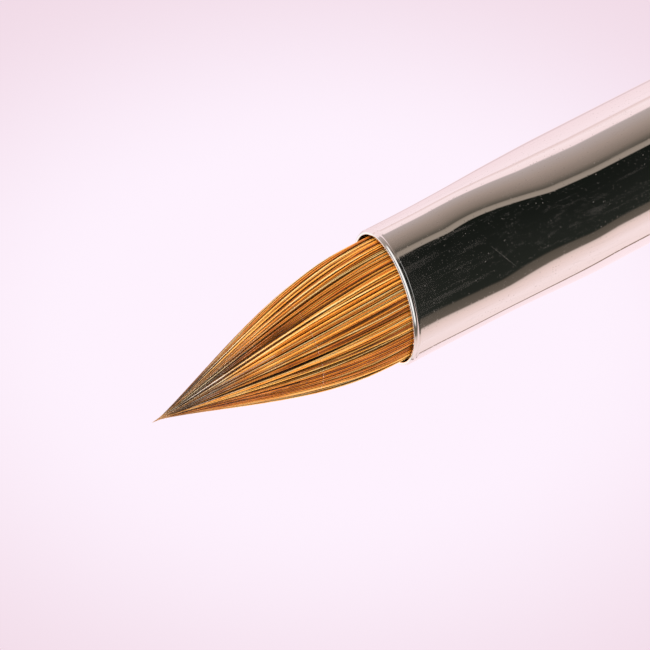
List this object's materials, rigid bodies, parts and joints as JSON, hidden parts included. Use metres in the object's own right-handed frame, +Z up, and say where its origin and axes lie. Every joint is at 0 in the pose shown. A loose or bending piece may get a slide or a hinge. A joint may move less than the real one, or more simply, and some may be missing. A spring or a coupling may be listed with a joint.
{
  "type": "detail brush",
  "caption": "Pointed sable detail brush: plump hair tuft that flexes two ways, in a pressed oval plated ferrule on a wooden handle.",
  "frame": {"origin": "on the surface that the brush lies on, under the middle of its whole length", "axes": "+X along the brush from the hair's point to the handle's end, +Z up"},
  "size_m": [0.18, 0.0088, 0.0081],
  "materials": {
    "plated_ferrule": "drawn brass tube, nickel plated and polished",
    "sable_hair": "natural sable hair, amber with dark tips",
    "thread": "waxed linen thread",
    "cement": "cured clear amber resin",
    "lacquered_wood": "stained birch under clear gloss lacquer",
    "glue": "cured clear glue"
  },
  "bodies": {
    "brush": {"ferrule": "plated_ferrule", "tuft_root": "sable_hair", "binding_thread": "thread", "root_cement": "cement", "handle": "lacquered_wood", "handle_glue": "glue"},
    "belly": {"tuft_belly": "sable_hair"},
    "point": {"tuft_point": "sable_hair"}
  },
  "joints": [
    {"name": "tuft_press", "type": "hinge", "parent": "brush", "child": "belly", "pos_m": [-0.0797, 0, 0.00405], "axis": [0, 0.5563, 0.831], "range_deg": [-35, 35], "stiffness_Nm_per_rad": 0.002},
    {"name": "tuft_sweep", "type": "hinge", "parent": "belly", "child": "point", "pos_m": [-0.08415, 0, 0.00405], "axis": [0, -0.831, 0.5563], "range_deg": [-35, 35], "stiffness_Nm_per_rad": 0.0008}
  ]
}
